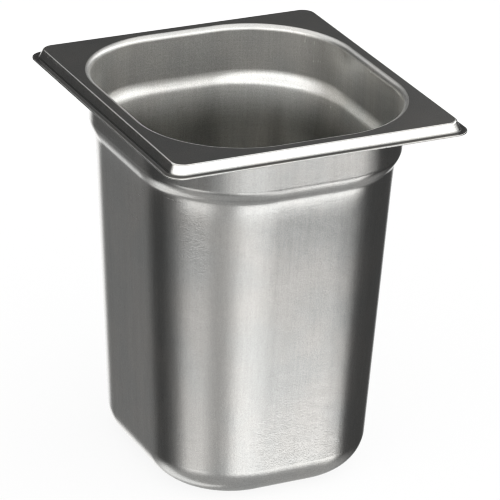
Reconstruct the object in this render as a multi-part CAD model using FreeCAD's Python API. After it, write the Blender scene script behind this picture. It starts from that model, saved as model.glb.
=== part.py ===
"""Deep food pan, one-sixth gastronorm size, drawn from one blank of stainless steel sheet.

Frame: +Z up, origin at the centre of the base underside, the pan's flat top flange at z = HEIGHT.
X is the short side of the flange, Y is the long side.  Millimetres.

Every level of the pan is a rounded rectangle given as (inset, corner radius, z), where the
inset is measured inward from the edge of the lip.
"""
import FreeCAD, Part
import math, os

# ---------------------------------------------------------------- driving dimensions
FLANGE_X = 162.0        # overall flange, short side, lip edge to lip edge
FLANGE_Y = 176.0        # overall flange, long side
HEIGHT = 200.0          # base underside to flange top
SHEET = 0.7             # sheet thickness

# rim: flat flange, folded-down edge, small outward lip
LIP_W = 2.6             # lip edge to the foot of the folded-down edge
EDGE_RUN = 2.0          # horizontal run of the folded-down edge
EDGE_H = 4.9            # flange top to lip top
RIM_R = 8.4             # plan corner radius of the lip
FOLD_R = 1.2            # outside bend radius, flange top into the folded-down edge
FOOT_R = 0.5            # upper bend radius, folded-down edge into the lip

# mouth and collar
COLLAR_IN = 11.8        # inset of the collar's outer face
COLLAR_R = 50.6         # plan corner radius of the collar's outer face
MOUTH_R = 3.0           # bend radius, flange top into the mouth
COLLAR_DEPTH = 25.6     # flange top down to the collar's lower bend

# stacking shoulder, from the collar in to the waist at the top of the body
SHOULDER_H = 6.7
SHOULDER_BEND_R = 1.6   # outside radius of the collar-to-shoulder bend
WAIST_BEND_R = 1.2      # outside radius of the shoulder-to-body bend

# body and base
BODY_TOP_IN = 14.2      # inset of the body's outer face at the waist
BODY_TOP_R = 51.6
BODY_BOT_IN = 23.7      # inset of the body's outer face, carried down to z = 0
BODY_BOT_R = BODY_TOP_R - (BODY_BOT_IN - BODY_TOP_IN)   # concentric with the top corners
BASE_R = 19.0           # outside radius between the walls and the base

# ---------------------------------------------------------------- shared levels and slopes
LIP_TOP_Z = HEIGHT - EDGE_H
LIP_BOT_Z = LIP_TOP_Z - SHEET
UNDERSIDE_Z = HEIGHT - SHEET            # underside of the flat flange
COLLAR_Z = HEIGHT - COLLAR_DEPTH
WAIST_Z = COLLAR_Z - SHOULDER_H

# slopes are change of inset per unit of height
EDGE_SLOPE = EDGE_RUN / EDGE_H
SHOULDER_SLOPE = (BODY_TOP_IN - COLLAR_IN) / SHOULDER_H
BODY_SLOPE = (BODY_BOT_IN - BODY_TOP_IN) / WAIST_Z

LEVEL_TOL = 0.02        # how far an edge may lie from the height it is picked by
PLAN_TOL = 0.25         # how far an edge may lie from the outline it is picked by


# ---------------------------------------------------------------- helpers
def half_sizes(inset):
    """Half the X and Y size of the flange outline moved in by inset."""
    return FLANGE_X / 2.0 - inset, FLANGE_Y / 2.0 - inset


def ring(inset, radius, z):
    """Closed wire of four corner arcs and four lines."""
    a, b = half_sizes(inset)
    mid = radius * (1.0 - math.sqrt(0.5))   # arc midpoint, in from each side
    # start, middle and end of each corner arc, anticlockwise from +X +Y
    corners = [
        [(a, b - radius), (a - mid, b - mid), (a - radius, b)],
        [(-a + radius, b), (-a + mid, b - mid), (-a, b - radius)],
        [(-a, -b + radius), (-a + mid, -b + mid), (-a + radius, -b)],
        [(a - radius, -b), (a - mid, -b + mid), (a, -b + radius)],
    ]
    arcs = [[FreeCAD.Vector(x, y, z) for x, y in corner] for corner in corners]
    edges = []
    for i, arc in enumerate(arcs):
        next_start = arcs[(i + 1) % 4][0]
        edges.append(Part.Arc(*arc).toShape())
        edges.append(Part.makeLine(arc[2], next_start))
    return Part.Wire(edges)


def band(lower, upper):
    """Solid between two levels, straight walls."""
    return Part.makeLoft([ring(*lower), ring(*upper)], True, True)


def stack(levels):
    """One solid of bands through the levels, bottom to top."""
    solid = band(levels[0], levels[1])
    for lower, upper in zip(levels[1:], levels[2:]):
        solid = solid.fuse(band(lower, upper))
    return solid.removeSplitter()


def edge_loop(shape, inset, z):
    """Edges of the shape that lie on the outline at this inset and height, corners included."""
    a, b = half_sizes(inset)
    found = []
    for edge in shape.Edges:
        box = edge.BoundBox
        if abs(box.ZMin - z) > LEVEL_TOL or abs(box.ZMax - z) > LEVEL_TOL:
            continue
        mid = edge.valueAt(0.5 * (edge.FirstParameter + edge.LastParameter))
        on_x_side = abs(abs(mid.x) - a) < PLAN_TOL and abs(mid.y) <= b + PLAN_TOL
        on_y_side = abs(abs(mid.y) - b) < PLAN_TOL and abs(mid.x) <= a + PLAN_TOL
        curve = edge.Curve.TypeId
        if on_x_side or on_y_side:
            found.append(edge)
        elif curve == "Part::GeomCircle" or "BSpline" in curve:
            # a corner arc reaches both sides of the outline
            reach_x = max(abs(box.XMax), abs(box.XMin))
            reach_y = max(abs(box.YMax), abs(box.YMin))
            if abs(reach_x - a) < PLAN_TOL and abs(reach_y - b) < PLAN_TOL:
                found.append(edge)
    return found


def round_loop(shape, radius, inset, z):
    """Fillet the edges around the outline at this inset and height."""
    return shape.makeFillet(radius, edge_loop(shape, inset, z))


def level_sheet(slope):
    """Sheet thickness measured horizontally through a wall of this slope."""
    return SHEET / math.cos(math.atan(slope))


# ---------------------------------------------------------------- parts of the sheet
def folded_rim():
    """Flange, folded-down edge and lip, hollow below and not yet open at the mouth."""
    def level(inset, z):
        return (inset, RIM_R - inset, z)

    def recess_inset(z):
        return LIP_W + (z - LIP_TOP_Z) * EDGE_SLOPE + level_sheet(EDGE_SLOPE)

    fold_in = LIP_W + EDGE_RUN
    slab = band(level(0.0, LIP_BOT_Z), level(0.0, LIP_TOP_Z))
    crown = band(level(LIP_W, LIP_TOP_Z), level(fold_in, HEIGHT))
    rim = slab.fuse(crown).removeSplitter()
    rim = round_loop(rim, FOLD_R, fold_in, HEIGHT)
    rim = round_loop(rim, FOOT_R, LIP_W, LIP_TOP_Z)

    foot_in, roof_in = recess_inset(LIP_BOT_Z), recess_inset(UNDERSIDE_Z)
    recess = band(level(foot_in, LIP_BOT_Z), level(roof_in, UNDERSIDE_Z))
    recess = round_loop(recess, FOLD_R - SHEET, roof_in, UNDERSIDE_Z)
    rim = rim.cut(recess)
    return round_loop(rim, FOOT_R + SHEET, foot_in, LIP_BOT_Z)


def drawn_body():
    """Outside of the drawn body as a full solid, ending halfway through the flange."""
    body = stack([
        (BODY_BOT_IN, BODY_BOT_R, 0.0),
        (BODY_TOP_IN, BODY_TOP_R, WAIST_Z),
        (COLLAR_IN, COLLAR_R, COLLAR_Z),
        (COLLAR_IN, COLLAR_R, HEIGHT - 0.5 * SHEET),
    ])
    body = round_loop(body, BASE_R, BODY_BOT_IN, 0.0)
    body = round_loop(body, SHOULDER_BEND_R, COLLAR_IN, COLLAR_Z)
    return round_loop(body, WAIST_BEND_R, BODY_TOP_IN, WAIST_Z)


def body_cavity():
    """Inside of the drawn body, one sheet thickness in from the outside."""
    body_t, shoulder_t = level_sheet(BODY_SLOPE), level_sheet(SHOULDER_SLOPE)
    # the inside bends sit a little higher than the outside ones
    collar_rise = (shoulder_t - SHEET) / SHOULDER_SLOPE
    waist_rise = (shoulder_t - body_t) / (SHOULDER_SLOPE - BODY_SLOPE)
    collar_z, waist_z = COLLAR_Z + collar_rise, WAIST_Z + waist_rise

    # inward shift from the outside level to the inside one; the corners stay concentric
    waist_shift = body_t - waist_rise * BODY_SLOPE
    floor_shift = body_t - SHEET * BODY_SLOPE
    collar_in = COLLAR_IN + SHEET
    waist_in = BODY_TOP_IN + waist_shift
    floor_in = BODY_BOT_IN + floor_shift

    cavity = stack([
        (floor_in, BODY_BOT_R - floor_shift, SHEET),
        (waist_in, BODY_TOP_R - waist_shift, waist_z),
        (collar_in, COLLAR_R - SHEET, collar_z),
        (collar_in, COLLAR_R - SHEET, HEIGHT),
    ])
    cavity = round_loop(cavity, BASE_R - SHEET, floor_in, SHEET)
    cavity = round_loop(cavity, SHOULDER_BEND_R - SHEET, collar_in, collar_z)
    return round_loop(cavity, WAIST_BEND_R + SHEET, waist_in, waist_z)


def food_pan():
    """The whole pan as one sheet, with both faces of the mouth bend rounded."""
    pan = folded_rim().fuse(drawn_body()).removeSplitter()
    pan = round_loop(pan, MOUTH_R - SHEET, COLLAR_IN, UNDERSIDE_Z)
    pan = pan.cut(body_cavity())
    pan = round_loop(pan, MOUTH_R, COLLAR_IN + SHEET, HEIGHT)
    assert len(pan.Solids) == 1 and pan.isValid()
    return pan.Solids[0]


os.makedirs("parts", exist_ok=True)
food_pan().exportStep("parts/pan.step")
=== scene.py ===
"""A deep rectangular pan pressed from thin satin stainless sheet, with a flat flange at the top.

The pan stands upright on its base. X runs to the right, -Y is the front and Z is up. Lengths are in
millimetres until the mesh is made, and z is counted from the underside of the pan.
"""
import math

import bpy
import numpy as np
from mathutils import Matrix, Vector


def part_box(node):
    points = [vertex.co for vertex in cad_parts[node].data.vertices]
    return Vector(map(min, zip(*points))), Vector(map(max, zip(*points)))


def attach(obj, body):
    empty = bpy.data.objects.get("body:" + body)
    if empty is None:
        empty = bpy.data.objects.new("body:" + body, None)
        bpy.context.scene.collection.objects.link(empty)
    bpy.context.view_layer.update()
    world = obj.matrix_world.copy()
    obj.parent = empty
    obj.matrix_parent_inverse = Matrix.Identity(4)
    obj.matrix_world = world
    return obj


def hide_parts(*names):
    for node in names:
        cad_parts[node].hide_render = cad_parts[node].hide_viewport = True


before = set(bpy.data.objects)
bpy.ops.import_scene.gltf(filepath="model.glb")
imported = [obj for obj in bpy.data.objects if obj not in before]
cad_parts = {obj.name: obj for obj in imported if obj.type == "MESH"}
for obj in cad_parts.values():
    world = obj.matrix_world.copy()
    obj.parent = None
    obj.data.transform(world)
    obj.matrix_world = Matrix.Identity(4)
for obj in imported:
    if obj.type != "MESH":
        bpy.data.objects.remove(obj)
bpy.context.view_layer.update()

MM = 1000.0                         # millimetres in a metre

# ------------------------------------------------------------------ sizes
low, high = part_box("pan")
HALF_X = MM * 0.5 * (high.x - low.x)
HALF_Y = MM * 0.5 * (high.y - low.y)
MID_X = MM * 0.5 * (high.x + low.x)
MID_Y = MM * 0.5 * (high.y + low.y)
BASE_Z = MM * low.z
HEIGHT = MM * (high.z - low.z)
SHEET = 0.7                         # thickness of the steel

# An inset is measured inward from the outermost edge of the lip; a corner is a radius seen from above.
LIP_WIDTH = 2.6
EDGE_RUN = 2.0                      # sloping edge from the lip up to the flange
EDGE_HEIGHT = 4.9
RIM_CORNER = 8.4
FOLD_BEND = 1.2                     # where the flange turns down
FOOT_BEND = 0.5                     # where the sloping edge meets the lip
CUT_BEND = 0.16                     # rounding of the cut edge
COLLAR_INSET = 11.8
COLLAR_CORNER = 50.6
MOUTH_BEND = 3.0
SHOULDER_DEPTH = 25.6               # below the flange
SHOULDER_HEIGHT = 6.7
BODY_TOP_INSET = 14.2
BODY_TOP_CORNER = 51.6
BODY_BASE_INSET = 23.7
BODY_BASE_CORNER = 42.1
BASE_BEND = 19.0
FLOOR_CORNER = 5.0                  # corner of the innermost ring before the floor is capped

BEND_STEPS = 18                     # segments in the large bends
CORNER_STEPS = 32
STEPS_X = 6                         # along a front or back side
STEPS_Y = 8                         # along a left or right side
CAP_SHARES = (0.7, 0.4, 0.15)       # sizes of the rings that close the floor and underside

LIP_TOP = HEIGHT - EDGE_HEIGHT
LIP_UNDER = LIP_TOP - SHEET
FLANGE_UNDER = HEIGHT - SHEET
EDGE_OFFSET = SHEET / math.cos(math.atan2(EDGE_RUN, EDGE_HEIGHT))
WAIST_Z = HEIGHT - SHOULDER_DEPTH - SHOULDER_HEIGHT
TAPER = (BODY_BASE_INSET - BODY_TOP_INSET) / WAIST_Z

# ------------------------------------------------------------------ shoulder and waist
# Depth below the flange, lean of the wall in degrees: the rounded shoulder, then a long curve that
# eases into the tapered body.
LEAN = [
    (23.8, 0.0), (25.0, 8.0), (26.0, 16.0), (27.0, 22.5), (28.0, 28.5), (29.0, 32.5),
    (29.7, 34.0), (30.4, 32.0), (31.0, 26.5), (31.6, 18.5), (32.2, 13.2), (33.0, 10.4),
    (35.0, 7.8), (38.0, 5.8), (42.0, 4.2), (46.0, 3.24),
]
CURVE_TOP = LEAN[0][0]
CURVE_END, END_LEAN = LEAN[-1]
CURVE_POINTS = 88


def wall_curve():
    """Depth, inset, corner radius and lean of the outer face, top to bottom."""
    depth = np.linspace(CURVE_TOP, CURVE_END, CURVE_POINTS)
    key = np.array(LEAN)
    lean = np.interp(depth, key[:, 0], key[:, 1])
    kernel = np.array([1, 3, 5, 3, 1]) / 13.0
    lean = np.convolve(np.pad(lean, 2, mode="edge"), kernel, "valid")
    goal = BODY_TOP_INSET + TAPER * (WAIST_Z - (HEIGHT - CURVE_END))
    # Scale the lean about a plain ramp until the curve lands on the tapered body.
    gain = 1.0
    for _ in range(6):
        ramp = END_LEAN * (depth - CURVE_TOP) / (CURVE_END - CURVE_TOP)
        tilt = np.radians(ramp * (1 - gain) + lean * gain)
        step = np.diff(depth) * 0.5 * (np.tan(tilt[1:]) + np.tan(tilt[:-1]))
        inset = COLLAR_INSET + np.concatenate([[0], np.cumsum(step)])
        gain *= (goal - COLLAR_INSET) / (inset[-1] - COLLAR_INSET)
    inset += (goal - inset[-1]) * (depth - depth[0]) / (depth[-1] - depth[0])
    share = (depth - CURVE_TOP) / (SHOULDER_DEPTH + SHOULDER_HEIGHT - CURVE_TOP)
    share = np.clip(share, 0, 1)
    corner = COLLAR_CORNER + (BODY_TOP_CORNER - COLLAR_CORNER) * share * share * (3 - 2 * share)
    below = np.clip(depth - SHOULDER_DEPTH - SHOULDER_HEIGHT, 0, None)
    corner = corner + (BODY_BASE_CORNER - BODY_TOP_CORNER) * below / WAIST_Z
    return depth, inset, corner, tilt


CURVE = wall_curve()


def curve_rows(inside):
    """Profile rows of the curve: downward on the outer face, upward on the inner one."""
    depth, inset, corner, tilt = CURVE
    z = HEIGHT - depth
    if inside:
        inset = inset + SHEET * np.cos(tilt)
        z = z + SHEET * np.sin(tilt)
        corner = corner - SHEET * np.cos(tilt)
    points = np.c_[inset, corner, z]
    rate = np.gradient(points, axis=0)
    rate /= np.maximum(np.linalg.norm(rate[:, [0, 2]], axis=1), 1e-9)[:, None]
    rows = np.c_[points, rate]
    if inside:
        rows = rows[::-1].copy()
        rows[:, 3:] *= -1
    return rows


# ------------------------------------------------------------------ profile of the sheet
def rim(inset, z, bend, segments, step):
    """Control row on the rim, whose corners tighten inward."""
    return inset, RIM_CORNER - 0.45 * min(inset, 6.5), z, bend, segments, step


def edge_under(z):
    """Inset of the hidden face of the sloping edge."""
    return LIP_WIDTH + (z - LIP_TOP) * EDGE_RUN / EDGE_HEIGHT + EDGE_OFFSET


end_inset, end_corner = CURVE[1][-1], CURVE[2][-1]
end_z = HEIGHT - CURVE[0][-1]
body_offset = SHEET / math.cos(math.atan(TAPER))
inner_base_inset = BODY_BASE_INSET - SHEET * TAPER + body_offset
inner_base_corner = (BODY_BASE_CORNER + SHEET * (BODY_TOP_CORNER - BODY_BASE_CORNER) / WAIST_Z
                     - body_offset)
collar_inside = COLLAR_INSET + SHEET
collar_inside_corner = COLLAR_CORNER - SHEET
curve_top_z = HEIGHT - CURVE_TOP

# Columns: inset, corner radius, z, bend radius, segments in the bend, longest step up to the row.
INNER_BODY = [
    (inner_base_inset + inner_base_corner - FLOOR_CORNER, FLOOR_CORNER, SHEET, 0.0, 0, 7.0),
    (inner_base_inset, inner_base_corner, SHEET, BASE_BEND - SHEET, BEND_STEPS, 7.0),
    (end_inset + SHEET, end_corner - SHEET, end_z, 0.0, 0, 4.0),
]
RIM = [
    (collar_inside, collar_inside_corner, curve_top_z, 0.0, 0, 4.0),
    (collar_inside, collar_inside_corner, HEIGHT, MOUTH_BEND, BEND_STEPS, 3.0),
    (collar_inside - MOUTH_BEND - 0.6, collar_inside_corner + MOUTH_BEND + 0.6, HEIGHT, 0.0, 0, 9.0),
    rim(LIP_WIDTH + EDGE_RUN + 1.6, HEIGHT, 0.0, 0, 9.0),
    rim(LIP_WIDTH + EDGE_RUN, HEIGHT, FOLD_BEND, 10, 1.0),
    rim(LIP_WIDTH, LIP_TOP, FOOT_BEND, 8, 1.0),
    rim(0.0, LIP_TOP, CUT_BEND, 4, 0.3),
    rim(0.0, LIP_UNDER, CUT_BEND, 4, 9.0),
    rim(edge_under(LIP_UNDER), LIP_UNDER, FOOT_BEND + SHEET, 8, 9.0),
    rim(edge_under(FLANGE_UNDER), FLANGE_UNDER, FOLD_BEND - SHEET, 8, 9.0),
    rim(edge_under(FLANGE_UNDER) + 1.4, FLANGE_UNDER, 0.0, 0, 9.0),
    (COLLAR_INSET - MOUTH_BEND, COLLAR_CORNER + MOUTH_BEND, FLANGE_UNDER, 0.0, 0, 9.0),
    (COLLAR_INSET, COLLAR_CORNER, FLANGE_UNDER, MOUTH_BEND - SHEET, 12, 9.0),
    (COLLAR_INSET, COLLAR_CORNER, curve_top_z, 0.0, 0, 3.0),
]
OUTER_BODY = [
    (end_inset, end_corner, end_z, 0.0, 0, 4.0),
    (BODY_BASE_INSET, BODY_BASE_CORNER, 0.0, BASE_BEND, BEND_STEPS, 4.0),
    (BODY_BASE_INSET + BODY_BASE_CORNER - FLOOR_CORNER, FLOOR_CORNER, 0.0, 0.0, 0, 7.0),
]


def section_length(vector):
    """Length in the inset-z plane."""
    return np.linalg.norm(vector[[0, 2]])


def bend_rows(knee, before, after, turn, reach, radius, segments):
    """Rows within the bend at a knee, between the unit directions before and after it."""
    sine = math.sin(turn)
    rows = []
    for k in range(1, segments):
        angle = turn * k / segments
        x = -reach + radius * math.sin(angle)
        y = radius * (1 - math.cos(angle))
        part_after = y / sine
        part_before = x - part_after * math.cos(turn)
        rate_after = math.sin(angle) / sine
        rate_before = math.cos(angle) - rate_after * math.cos(turn)
        rows.append(np.concatenate([
            knee + part_before * before + part_after * after,
            rate_before * before + rate_after * after,
        ]))
    return rows


def sweep(control):
    """Profile rows along straight runs joined by round bends."""
    points = [np.array(entry[:3], float) for entry in control]
    rows = []
    start = points[0]
    for i in range(1, len(points)):
        here = points[i]
        radius, segments, longest = control[i][3:]
        before = here - points[i - 1]
        before = before / max(section_length(before), 1e-9)
        end, next_start, bend = here, here, []
        if i < len(points) - 1 and segments:
            after = points[i + 1] - here
            after = after / section_length(after)
            cosine = float(before[[0, 2]] @ after[[0, 2]])
            turn = math.acos(max(-1.0, min(1.0, cosine)))
            reach = radius * math.tan(turn / 2)
            end = here - before * reach
            next_start = here + after * reach
            bend = bend_rows(here, before, after, turn, reach, radius, segments)
        steps = max(1, int(math.ceil(section_length(end - start) / longest)))
        for k in range(steps + 1):
            rows.append(np.concatenate([start + (end - start) * k / steps, before]))
        rows += bend
        start = next_start
    return np.array(rows)


def profile():
    """Rows of inset, corner radius, z and their rates, from the inner floor over the rim to the
    underside, and the part of the sheet each row belongs to."""
    pieces = [
        (sweep(INNER_BODY), "inner"),
        (curve_rows(inside=True), "inner"),
        (sweep(RIM), "rim"),
        (curve_rows(inside=False), "outer"),
        (sweep(OUTER_BODY), "outer"),
    ]
    out, parts = [], []
    for rows, part in pieces:
        for row in rows:
            if not out or np.linalg.norm(row[:3] - out[-1][:3]) > 1e-4:
                out.append(row)
                parts.append(part)
    return np.array(out), np.array(parts)


# ------------------------------------------------------------------ plan of one ring
# Right, back, left and front: steps, outward direction, direction of travel.
SIDES = [
    (STEPS_Y, (1, 0), (0, 1)),
    (STEPS_X, (0, 1), (-1, 0)),
    (STEPS_Y, (-1, 0), (0, -1)),
    (STEPS_X, (0, -1), (1, 0)),
]


def plan():
    """Places on the rectangle of corner centres, in shares of its half sizes, and the outward
    normals, each straight side followed by its corner."""
    spots, angles = [], []
    for quarter, (steps, outward, ahead) in enumerate(SIDES):
        outward, ahead = np.array(outward), np.array(ahead)
        first = math.radians(90 * quarter)
        for k in range(steps):
            spots.append(outward + (2.0 * k / steps - 1.0) * ahead)
            angles.append(first)
        for k in range(CORNER_STEPS):
            spots.append(outward + ahead)
            angles.append(first + math.radians(90.0 * k / CORNER_STEPS))
    return np.array(spots), np.array([[math.cos(a), math.sin(a)] for a in angles])


SPOTS, NORMALS = plan()
SPREAD = np.abs(NORMALS).sum(axis=1)
RING = len(SPOTS)                   # points in a ring


# ------------------------------------------------------------------ the sheet
def bell(x, middle, width):
    return math.exp(-((x - middle) / width) ** 2)


def unit(x):
    return max(0.0, min(1.0, x))


def row_marks(index, row, part, flange, lip):
    """Shares of inner face, painted crease shade at the foot of the sloping edge, worn edge and
    painted shade along the shoulder bends for one ring;
    flange and lip are the first row of the flange top and the outermost row."""
    inset, z = row[0], row[2]
    depth = HEIGHT - z
    inner = 1.0 if part == "inner" or (part == "rim" and index < flange) else 0.0
    shaded_groove = edge = bend = 0.0
    if part == "rim" and flange <= index <= lip + 6:
        # painted shade: the crease where the sloping edge meets the lip is marked so the steel colour
        # is darkened there
        if z < LIP_TOP + 0.8:
            shaded_groove = unit((inset - 0.35) / 0.5) * unit((LIP_TOP + 0.8 - z) / 0.6)
        edge = max(bell(inset, 0.0, 0.35), 0.8 * bell(inset, LIP_WIDTH + EDGE_RUN, 0.9))
    if part == "rim" and z > HEIGHT - 4.0 and inset > 8.0:
        edge = max(edge, 0.3 * bell(inset, collar_inside - 1.6, 1.4))
    if part == "outer":
        edge = max(0.7 * bell(z, 5.0, 4.0), 0.35 * bell(depth, SHOULDER_DEPTH - 0.6, 0.8))
        # painted shade: a dark line just under the collar and a weaker one across the steepest part of
        # the shoulder, darkening the colour
        bend = max(bell(depth, SHOULDER_DEPTH - 0.2, 0.75), 0.5 * bell(depth, 29.6, 0.8))
    return inner, shaded_groove, edge, bend


def cap(outline, outer, first, z, upward):
    """Points and faces that close the ring starting at vertex outer; new vertices start at first."""
    points, faces = [], []
    for share in CAP_SHARES:
        points += [(x + MID_X, y + MID_Y, z) for x, y in outline * share]
        for i in range(RING):
            k = (i + 1) % RING
            faces.append((outer + i, outer + k, first + k, first + i))
        outer = first
        first += RING
    points.append((MID_X, MID_Y, z))
    faces += [(outer + i, outer + (i + 1) % RING, first) for i in range(RING)]
    return points, faces if upward else [face[::-1] for face in faces]


def build_sheet():
    """Mesh of the whole sheet with its own normals and the marks the steel material reads."""
    rows, parts = profile()
    flange = int(np.argmax((parts == "rim") & (rows[:, 2] >= HEIGHT - 1e-6)))
    lip = int(np.argmin(rows[:, 0]))
    rings, normals, marks = [], [], []
    run = 0.0                       # length travelled along the profile
    for j, row in enumerate(rows):
        inset, corner, z, inset_rate, corner_rate, z_rate = row
        if j:
            run += math.hypot(inset - rows[j - 1][0], z - rows[j - 1][2])
        xy = SPOTS * [HALF_X - inset - corner, HALF_Y - inset - corner] + corner * NORMALS
        rings.append(np.c_[xy + [MID_X, MID_Y], np.full(RING, z + BASE_Z)])
        outward_rate = (-inset_rate - corner_rate) * SPREAD + corner_rate
        normal = np.c_[-z_rate * NORMALS, outward_rate]
        normals.append(normal / np.linalg.norm(normal, axis=1)[:, None])
        marks.append(row_marks(j, row, parts[j], flange, lip) + (run,))
    verts = np.vstack(rings)
    normals = np.vstack(normals)
    marks = np.repeat(np.array(marks), RING, axis=0)

    faces = []
    for a in range(0, len(verts) - RING, RING):
        b = a + RING
        for i in range(RING):
            k = (i + 1) % RING
            faces.append((a + i, b + i, b + k, a + k))

    caps = [
        (0, SHEET + BASE_Z, 1.0, (1.0, 0, 0, 0, 0)),                    # inner floor
        (len(verts) - RING, BASE_Z, -1.0, (0, 0, 0, 0, run)),           # underside
    ]
    for start, z, up, mark in caps:
        outline = verts[start:start + RING, :2] - [MID_X, MID_Y]
        points, cap_faces = cap(outline, start, len(verts), z, up > 0)
        faces += cap_faces
        verts = np.vstack([verts, points])
        normals = np.vstack([normals, np.tile([0, 0, up], (len(points), 1))])
        marks = np.vstack([marks, np.tile(mark, (len(points), 1))])

    mesh = bpy.data.meshes.new("pan_sheet")
    mesh.from_pydata([tuple(v / MM) for v in verts], [], faces)
    mesh.update()
    for column, name in enumerate(("inside", "shaded_groove", "edge", "bend", "run")):
        layer = mesh.attributes.new(name, "FLOAT", "POINT")
        layer.data.foreach_set("value", marks[:, column].astype(np.float32))
    mesh.shade_smooth()
    mesh.normals_split_custom_set_from_vertices([tuple(n) for n in normals])
    return mesh


# ------------------------------------------------------------------ shader arithmetic
class Graph:
    """Short ways to write shader arithmetic in one node tree."""

    def __init__(self, tree):
        self.tree = tree

    def put(self, socket, value):
        if isinstance(value, bpy.types.NodeSocket):
            self.tree.links.new(value, socket)
        else:
            socket.default_value = value

    def node(self, kind, inputs=None, **props):
        node = self.tree.nodes.new(kind)
        for key, value in props.items():
            setattr(node, key, value)
        for key, value in (inputs or {}).items():
            self.put(node.inputs[key], value)
        return node

    def math(self, operation, *values):
        inputs = dict(enumerate(values))
        return self.node("ShaderNodeMath", inputs, operation=operation).outputs[0]

    def add(self, a, b):
        return self.math("ADD", a, b)

    def mul(self, a, b):
        return self.math("MULTIPLY", a, b)

    def smooth(self, x, start, end, before=0.0, after=1.0):
        """Smooth step from one level to another as x goes from start to end."""
        inputs = {"Value": x, "From Min": start, "From Max": end, "To Min": before, "To Max": after}
        node = self.node("ShaderNodeMapRange", inputs, interpolation_type="SMOOTHSTEP")
        return node.outputs["Result"]

    def mix(self, share, off, on):
        """The value off where share is 0, on where it is 1."""
        return self.node("ShaderNodeMix", {0: share, 2: off, 3: on}, data_type="FLOAT").outputs[0]

    def noise(self, space, scale, detail, rough):
        inputs = {"Vector": space, "Scale": scale, "Detail": detail, "Roughness": rough}
        return self.node("ShaderNodeTexNoise", inputs, noise_dimensions="3D").outputs[0]

    def centred(self, texture):
        return self.add(texture, -0.5)

    def vary(self, base, texture, amount, where=None):
        """Base swung up and down by a texture, within a mask if one is given."""
        swing = self.centred(texture)
        if where is not None:
            swing = self.mul(swing, where)
        return self.add(base, self.mul(swing, amount))

    def attr(self, name):
        return self.node("ShaderNodeAttribute", attribute_name=name).outputs["Fac"]

    def stretch(self, vector, factors):
        inputs = {0: vector, 1: factors}
        return self.node("ShaderNodeVectorMath", inputs, operation="MULTIPLY").outputs[0]

    def split(self, vector):
        return self.node("ShaderNodeSeparateXYZ", {0: vector}).outputs

    def finish(self, shader):
        self.put(self.tree.nodes["Material Output"].inputs["Surface"], shader.outputs[0])


# ------------------------------------------------------------------ steel
COOL_STEEL = (0.612, 0.616, 0.600, 1)
WARM_STEEL = (0.632, 0.620, 0.594, 1)


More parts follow.
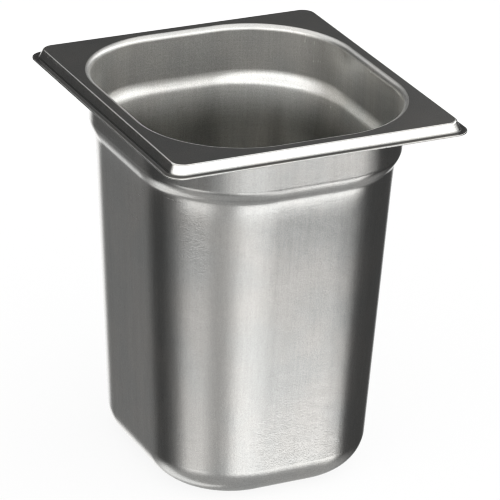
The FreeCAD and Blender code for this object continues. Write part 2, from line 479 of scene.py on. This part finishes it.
def satin_stainless():
    """Satin steel: a fairly clear reflection under a soft halo, with fine relief."""
    mat = bpy.data.materials.new("satin_stainless")
    mat.use_nodes = True
    g = Graph(mat.node_tree)
    clear = mat.node_tree.nodes["Principled BSDF"]
    halo = g.node("ShaderNodeBsdfPrincipled")

    # masks
    coords = g.node("ShaderNodeTexCoord").outputs["Object"]
    height_z = g.split(coords)[2]
    normal_z = g.split(g.node("ShaderNodeNewGeometry").outputs["Normal"])[2]
    level = g.smooth(g.math("ABSOLUTE", normal_z), 0.35, 0.85)      # 1 on flat areas, 0 on walls
    wall = g.math("SUBTRACT", 1.0, level)
    inside = g.attr("inside")
    shaded_groove = g.attr("shaded_groove")
    edge = g.attr("edge")
    bend = g.attr("bend")
    # 0 deep in the pan, 1 near the collar
    upper = g.smooth(height_z, (BASE_Z + HEIGHT - 54.0) / MM, (BASE_Z + HEIGHT - 33.0) / MM)

    # texture spaces
    up_wall = g.stretch(coords, (1.0, 1.0, 0.018))
    round_wall = g.stretch(coords, (0.03, 0.03, 1.0))
    across = g.stretch(coords, (0.05, 1.0, 1.0))
    flat_bands = g.stretch(coords, (0.25, 0.25, 6.0))

    peel = g.noise(coords, scale=1150.0, detail=1.0, rough=0.5)         # orange peel, about 0.8 mm
    grit = g.noise(coords, scale=2100.0, detail=0.0, rough=0.5)         # blasted grain, 0.5 mm
    cloud = g.noise(coords, scale=34.0, detail=3.0, rough=0.55)         # soft patches, 30 mm
    dimple = g.noise(coords, scale=210.0, detail=2.0, rough=0.5)        # unevenness, 5 mm
    draw = g.noise(up_wall, scale=900.0, detail=2.0, rough=0.6)         # draw marks, 1 mm apart
    draw_wide = g.noise(up_wall, scale=190.0, detail=2.0, rough=0.5)    # broader draw bands
    brush = g.noise(round_wall, scale=2100.0, detail=1.0, rough=0.6)    # brushing round the wall
    brush_top = g.noise(across, scale=1900.0, detail=1.0, rough=0.6)    # brushing on flat areas
    rub = g.noise(flat_bands, scale=120.0, detail=3.0, rough=0.7)
    rub_patch = g.noise(coords, scale=22.0, detail=1.0, rough=0.5)
    broken = g.noise(coords, scale=420.0, detail=3.0, rough=0.65)
    line_patch = g.noise(coords, scale=14.0, detail=1.0, rough=0.5)

    # scuffs: thin arcs rubbed round the outside of the body
    scuff = g.mul(g.smooth(rub, 0.63, 0.70), g.smooth(rub_patch, 0.54, 0.66))
    scuff = g.mul(scuff, g.mul(wall, g.math("SUBTRACT", 1.0, inside)))
    # edges rubbed brighter and rougher in broken runs
    worn = g.mul(edge, g.smooth(broken, 0.40, 0.66))

    # colour: brightness swings, then painted shade in the crease under the sloping edge and along the
    # shoulder bends
    tone = 1.0
    for texture, amount, where in (
        (cloud, 0.16, None),
        (peel, 0.22, None),
        (grit, 0.34, None),
        (draw, 0.20, wall),
        (draw_wide, 0.12, wall),
        (brush, 0.16, g.mul(inside, wall)),
        (brush_top, 0.10, level),
    ):
        tone = g.vary(tone, texture, amount, where)
    tone = g.add(tone, g.mul(worn, 0.05))
    # painted shade in the crease under the sloping edge: the colour drops to a fifth there
    tone = g.mul(tone, g.mix(shaded_groove, off=1.0, on=0.2))
    # painted shade along the shoulder bends, in broken runs: the colour drops to 0.62 there
    bend_shade = g.mul(bend, g.smooth(line_patch, 0.36, 0.60, before=0.25, after=1.0))
    tone = g.mul(tone, g.mix(bend_shade, off=1.0, on=0.62))
    warmth = g.smooth(cloud, 0.32, 0.68)
    tint = g.node("ShaderNodeMix", data_type="RGBA")
    for socket, value in ((0, warmth), (6, COOL_STEEL), (7, WARM_STEEL)):
        g.put(tint.inputs[socket], value)
    colour = g.node("ShaderNodeVectorMath", operation="SCALE")
    g.put(colour.inputs[0], tint.outputs[2])
    g.put(colour.inputs["Scale"], tone)

    # roughness of the clear reflection
    rough = g.mix(inside, off=0.135, on=g.mix(upper, off=0.16, on=0.25))
    rough = g.mix(level, off=rough, on=g.mix(inside, off=0.11, on=0.24))
    for texture, amount, where in ((cloud, 0.06, None), (draw, 0.05, wall), (dimple, 0.03, None)):
        rough = g.vary(rough, texture, amount, where)
    for mask, amount in ((scuff, 0.14), (worn, 0.07), (shaded_groove, 0.25)):
        rough = g.add(rough, g.mul(mask, amount))
    rough = g.math("MINIMUM", g.math("MAXIMUM", rough, 0.09), 0.65)

    # roughness and share of the halo
    halo_rough = g.mix(inside, off=0.295, on=g.mix(upper, off=0.295, on=0.46))
    halo_rough = g.vary(halo_rough, cloud, 0.03)
    halo_share = g.mix(inside, off=0.29, on=g.mix(upper, off=0.29, on=0.50))
    halo_share = g.vary(halo_share, draw_wide, 0.02)

    # relief, in metres
    height = g.mul(g.centred(peel), g.mix(inside, off=0.000018, on=0.000014))
    for texture, amount, where in (
        (grit, 0.000017, None),
        (dimple, 0.000035, None),
        (draw, 0.000006, wall),
        (draw_wide, 0.000010, wall),
        (brush, 0.000008, g.mul(inside, wall)),
        (brush_top, 0.000005, level),
    ):
        height = g.vary(height, texture, amount, where)
    height = g.add(height, g.mul(scuff, -0.000010))
    height = g.vary(height, broken, g.mix(inside, off=0.000004, on=0.0), where=edge)
    bump = g.node("ShaderNodeBump", {"Strength": 1.0, "Distance": 1.0, "Height": height})

    tangent = g.node("ShaderNodeCombineXYZ", {0: 0.03, 1: 0.02, 2: 1.0})     # nearly upright
    metal = g.mix(g.mul(worn, 0.05), off=1.0, on=0.0)
    for shader, spread in ((clear, rough), (halo, halo_rough)):
        g.put(shader.inputs["Base Color"], colour.outputs[0])
        g.put(shader.inputs["Roughness"], spread)
        g.put(shader.inputs["Metallic"], metal)
        g.put(shader.inputs["Anisotropic"], g.mul(wall, 0.55))
        g.put(shader.inputs["Tangent"], tangent.outputs[0])
        g.put(shader.inputs["Normal"], bump.outputs[0])
    inputs = {0: halo_share, 1: clear.outputs[0], 2: halo.outputs[0]}
    g.finish(g.node("ShaderNodeMixShader", inputs))
    return mat


def add_object(name, data):
    thing = bpy.data.objects.new(name, data)
    bpy.context.scene.collection.objects.link(thing)
    return thing


pan_mesh = build_sheet()
pan = add_object("pan_sheet", pan_mesh)
pan_mesh.materials.append(satin_stainless())
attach(pan, "root")
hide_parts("pan")


# ------------------------------------------------------------------ floor
FLOOR_HALF = 40                     # metres


def pale_table():
    """Nearly white glow with a little diffuse paper in it to catch the shade."""
    mat = bpy.data.materials.new("pale_table")
    mat.use_nodes = True
    g = Graph(mat.node_tree)
    mat.node_tree.nodes.remove(mat.node_tree.nodes["Principled BSDF"])
    paper = g.node("ShaderNodeBsdfDiffuse", {"Color": (0.9, 0.9, 0.9, 1)})
    glow = g.node("ShaderNodeEmission", {"Color": (1, 1, 1, 1), "Strength": 0.995})
    paper_share = 0.12
    inputs = {0: paper_share, 1: glow.outputs[0], 2: paper.outputs[0]}
    g.finish(g.node("ShaderNodeMixShader", inputs))
    return mat


floor_mesh = bpy.data.meshes.new("floor")
floor_corners = [(x * FLOOR_HALF, y * FLOOR_HALF, 0) for x, y in ((-1, -1), (1, -1), (1, 1), (-1, 1))]
floor_mesh.from_pydata(floor_corners, [], [(0, 1, 2, 3)])
floor = add_object("floor", floor_mesh)
floor.visible_glossy = False        # the steel mirrors the studio cards, not the floor
floor_mesh.materials.append(pale_table())

# ------------------------------------------------------------------ studio
# A dim room with soft cards round the pan. Azimuth 0 is the front (-Y) and +90 the right (+X);
# a later card stands in front of an earlier one. Angles are in degrees.
ROOM = 0.06
CARDS = [
    # azimuth, half width, soft edge, lowest, highest, soft edge, level
    (-164, 24, 12, -90, -23, 2, 0.22),    # grey, back left
    (-56, 44, 20, -90, -24, 5, 0.34),     # grey, left
    (-70, 20, 14, -90, -32.4, 2.4, 1.4),  # low, left
    (-10, 30, 20, -90, 4, 5, 0.65),       # main card, in front
    (22, 42, 12, -90, -32, 2.2, 1.9),     # low and bright, front right
    (162, 22, 10, -90, 4, 5, 1.2),        # white, behind
    (20, 40, 18, -24, 4, 2, 1.2),         # higher part, front right
    (0, 180, 0, -90, -43, 10, 0.4),       # shaded table below, all round
    (-154, 24, 12, -90, -44, 6, 1.1),     # lit table, back left
    (0, 90, 40, 4, 90, 4, 1.2),           # big card, front and above
    (10, 115, 30, 16, 38, 5, 2.5),        # its brighter middle
    (-150, 40, 20, 30, 90, 4, 0.9),       # high, back left
    (0, 180, 0, 46, 90, 6, 1.2),          # overhead
]


def build_studio():
    world = bpy.data.worlds.new("studio")
    bpy.context.scene.world = world
    world.use_nodes = True
    g = Graph(world.node_tree)
    x, y, z = g.split(g.node("ShaderNodeTexCoord").outputs["Generated"])
    around = g.math("DEGREES", g.math("ARCTAN2", x, g.mul(y, -1.0)))
    above = g.math("DEGREES", g.math("ARCSINE", z))
    sky = ROOM
    for azimuth, half, soft, lowest, highest, fade, level in CARDS:
        card = 1.0
        if half < 180:
            turn = g.math("MODULO", g.add(around, 540.0 - azimuth), 360.0)
            turn = g.math("ABSOLUTE", g.math("SUBTRACT", turn, 180.0))
            card = g.smooth(turn, half - soft, half + soft, before=1.0, after=0.0)
        if lowest > -90:
            card = g.mul(g.smooth(above, lowest - fade, lowest + fade), card)
        if highest < 90:
            upper_edge = g.smooth(above, highest - fade, highest + fade, before=1.0, after=0.0)
            card = g.mul(upper_edge, card)
        sky = g.mix(card, off=sky, on=level)
    # the camera itself sees plain white
    seen = g.node("ShaderNodeLightPath").outputs["Is Camera Ray"]
    background = world.node_tree.nodes["Background"]
    g.put(background.inputs["Strength"], g.mix(seen, off=sky, on=1.0))
    g.put(background.inputs["Color"], (1, 1, 1, 1))


build_studio()

scene = bpy.context.scene
scene.cycles.max_bounces = 16
scene.cycles.filter_width = 1.05
scene.cycles.glossy_bounces = 14
scene.cycles.diffuse_bounces = 2
scene.view_settings.view_transform = "Standard"

# ------------------------------------------------------------------ camera
CAMERA_AZIMUTH = math.radians(-26.415)      # to the left of the front
CAMERA_RISE = math.radians(24.343)
CAMERA_ROLL = math.radians(1.956)
CAMERA_DISTANCE = 1929.5
TARGET = (13.247 + MID_X, 15.866 + MID_Y, HEIGHT - 100.0 + BASE_Z)
SENSOR_WIDTH = 36.0
FOCAL_LENGTH = 270.8352


def build_camera():
    level = math.cos(CAMERA_RISE)
    back = Vector((math.sin(CAMERA_AZIMUTH) * level, -math.cos(CAMERA_AZIMUTH) * level,
                   math.sin(CAMERA_RISE)))
    right = (-back).cross(Vector((0, 0, 1))).normalized()
    up = right.cross(-back)
    cosine, sine = math.cos(CAMERA_ROLL), math.sin(CAMERA_ROLL)
    axes = (right * cosine + up * sine, -right * sine + up * cosine, back)
    data = bpy.data.cameras.new("camera")
    data.sensor_width = SENSOR_WIDTH
    data.lens = FOCAL_LENGTH
    data.clip_start = 0.05
    data.clip_end = 50.0
    camera = bpy.data.objects.new("camera", data)
    pose = Matrix(axes).transposed().to_4x4()
    pose.translation = Vector(TARGET) / MM + back * (CAMERA_DISTANCE / MM)
    camera.matrix_world = pose
    scene.collection.objects.link(camera)
    scene.camera = camera


build_camera()
